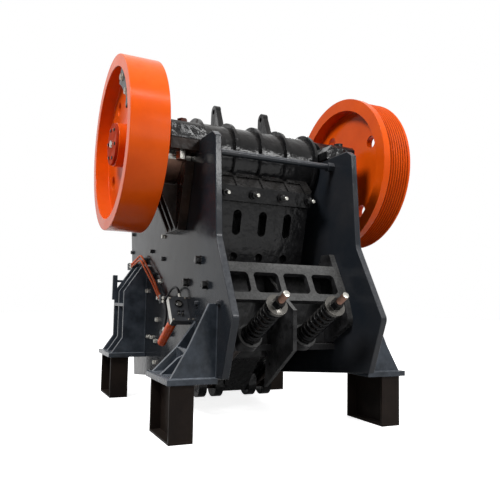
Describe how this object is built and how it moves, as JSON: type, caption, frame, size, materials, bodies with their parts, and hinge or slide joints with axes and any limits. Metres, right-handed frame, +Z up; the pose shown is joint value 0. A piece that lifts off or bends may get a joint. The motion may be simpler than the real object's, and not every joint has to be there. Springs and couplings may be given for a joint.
{
  "type": "jaw crusher",
  "caption": "Single toggle jaw crusher with bolted side plates, ribbed swing jaw, grooved and plain flywheels, spring tension rods and four short legs.",
  "frame": {"origin": "on the ground, midway across the width and the length of the machine", "axes": "+X towards the grooved flywheel, +Y towards the feed side, +Z up"},
  "size_m": [2.4804, 2.945, 2.911],
  "materials": {
    "casting_paint": "dark grey gloss paint over rough casting",
    "cover_paint": "pinkish red primer",
    "hose_black": "black hose",
    "hose_orange": "orange hose cover",
    "jaw_steel": "cast manganese steel",
    "machined_steel": "turned and greased steel",
    "plate_paint": "dark blue grey gloss paint on plate",
    "pump_paint": "grey paint",
    "reservoir_paint": "orange paint",
    "spring_steel": "painted spring steel",
    "wheel_enamel": "gloss orange enamel on cast iron"
  },
  "bodies": {
    "root": {"bearing_bracket_left": "casting_paint", "bearing_bracket_right": "casting_paint", "bearing_cap_left": "casting_paint", "bearing_cap_right": "casting_paint", "bearing_housing_left": "casting_paint", "bearing_housing_right": "casting_paint", "cheek_plate_left": "jaw_steel", "cheek_plate_right": "jaw_steel", "fixed_jaw_die": "jaw_steel", "foot_bracket_front_left": "plate_paint", "foot_bracket_front_right": "plate_paint", "foot_bracket_rear_left": "plate_paint", "foot_bracket_rear_right": "plate_paint", "front_wall": "casting_paint", "hose_blocks": "pump_paint", "jaw_wedge": "jaw_steel", "leg_front_left": "plate_paint", "leg_front_right": "plate_paint", "leg_rear_left": "plate_paint", "leg_rear_right": "plate_paint", "pitman": "casting_paint", "pump_block": "pump_paint", "pump_hoses": "hose_black", "pump_reservoir": "reservoir_paint", "setting_hoses": "hose_orange", "side_plate_left": "plate_paint", "side_plate_right": "plate_paint", "spacer_rod": "plate_paint", "spring_retainer_left": "spring_steel", "spring_retainer_right": "spring_steel", "spring_seat_left": "spring_steel", "spring_seat_right": "spring_steel", "swing_jaw_die": "jaw_steel", "tension_rod_left": "machined_steel", "tension_rod_right": "machined_steel", "tension_spring_left": "spring_steel", "tension_spring_right": "spring_steel", "toggle_beam": "casting_paint", "toggle_plate": "spring_steel", "toggle_seat_front": "spring_steel", "toggle_seat_rear": "spring_steel"},
    "rotor": {"counterweight_left": "spring_steel", "counterweight_right": "spring_steel", "eccentric_shaft": "machined_steel", "flywheel_left": "wheel_enamel", "flywheel_right": "wheel_enamel", "hub_cover_left": "cover_paint", "hub_cover_right": "cover_paint"}
  },
  "joints": [
    {"name": "flywheel_spin", "type": "hinge", "parent": "root", "child": "rotor", "pos_m": [0, -0.3075, 2.197], "axis": [1, 0, 0], "continuous": true}
  ]
}
